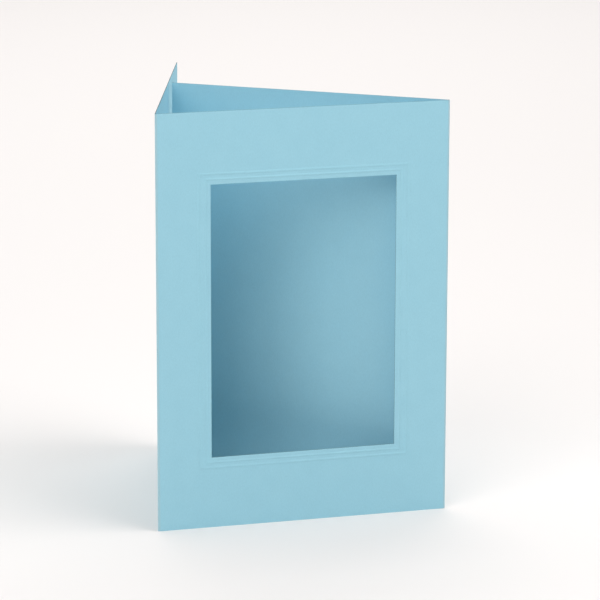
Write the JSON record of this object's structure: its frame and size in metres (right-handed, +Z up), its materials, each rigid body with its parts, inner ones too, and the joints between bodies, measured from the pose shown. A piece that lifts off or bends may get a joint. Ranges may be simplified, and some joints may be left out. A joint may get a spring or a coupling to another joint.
{
  "type": "passe-partout card",
  "caption": "Folded card that stands upright, with a rectangular die-cut window framed by embossed lines, a closing flap behind it and a back panel.",
  "frame": {"origin": "on the surface that the card stands on, under the middle of its box", "axes": "+Z up along the folds; +X along the window panel from its left fold to its right one; -Y the way the window panel's outer face looks"},
  "size_m": [0.12, 0.1148, 0.169],
  "materials": {
    "card": "matt, uncoated, light blue through its whole thickness"
  },
  "bodies": {
    "root": {"folded_card": "card"}
  },
  "joints": []
}
